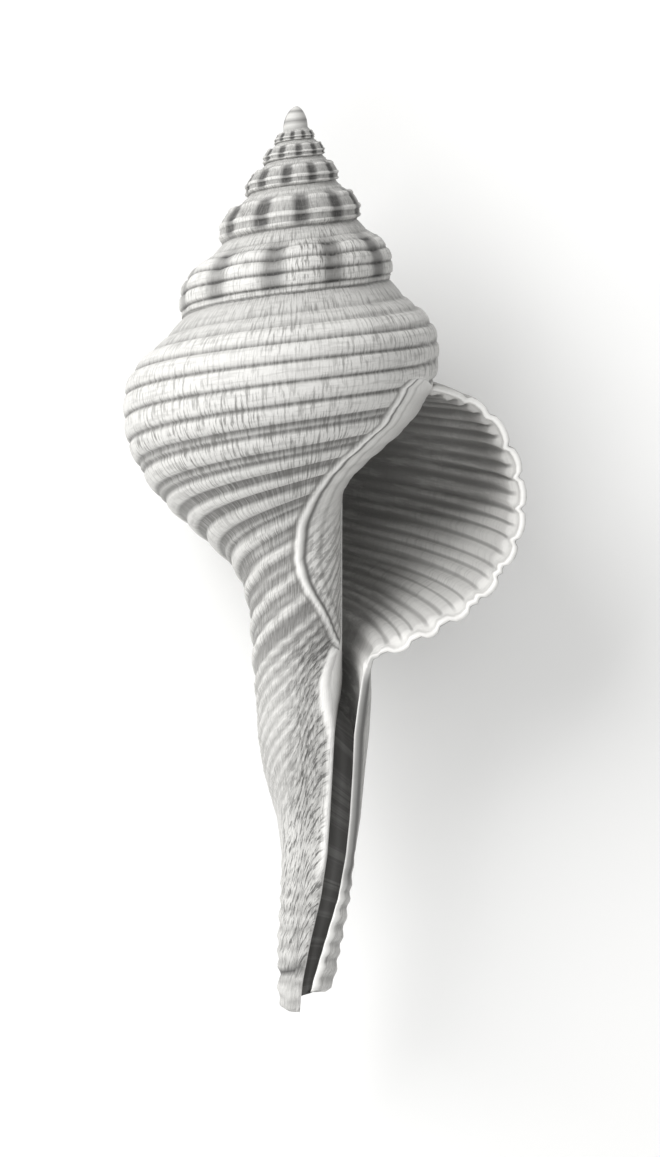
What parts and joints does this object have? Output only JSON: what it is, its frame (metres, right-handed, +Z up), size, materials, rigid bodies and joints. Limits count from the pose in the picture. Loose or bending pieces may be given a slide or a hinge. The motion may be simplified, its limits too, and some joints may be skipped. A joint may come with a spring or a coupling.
{
  "type": "fusinus carolinensis shell",
  "caption": "Spindle-shaped sea snail shell with a stepped ribbed spire, corded body whorl, open mouth and long slotted canal, lying on its back",
  "frame": {"origin": "centre of the bounding box's bottom, on the small flat spot that the shell rests on", "axes": "+Z up out of the mouth, +Y along the coiling axis towards the tip of the spire, +X to the outer lip"},
  "size_m": [0.0526, 0.12, 0.0458],
  "materials": {
    "shell": "chalky matte with a smooth inner lip"
  },
  "bodies": {
    "root": {"shell": "shell"}
  },
  "joints": []
}
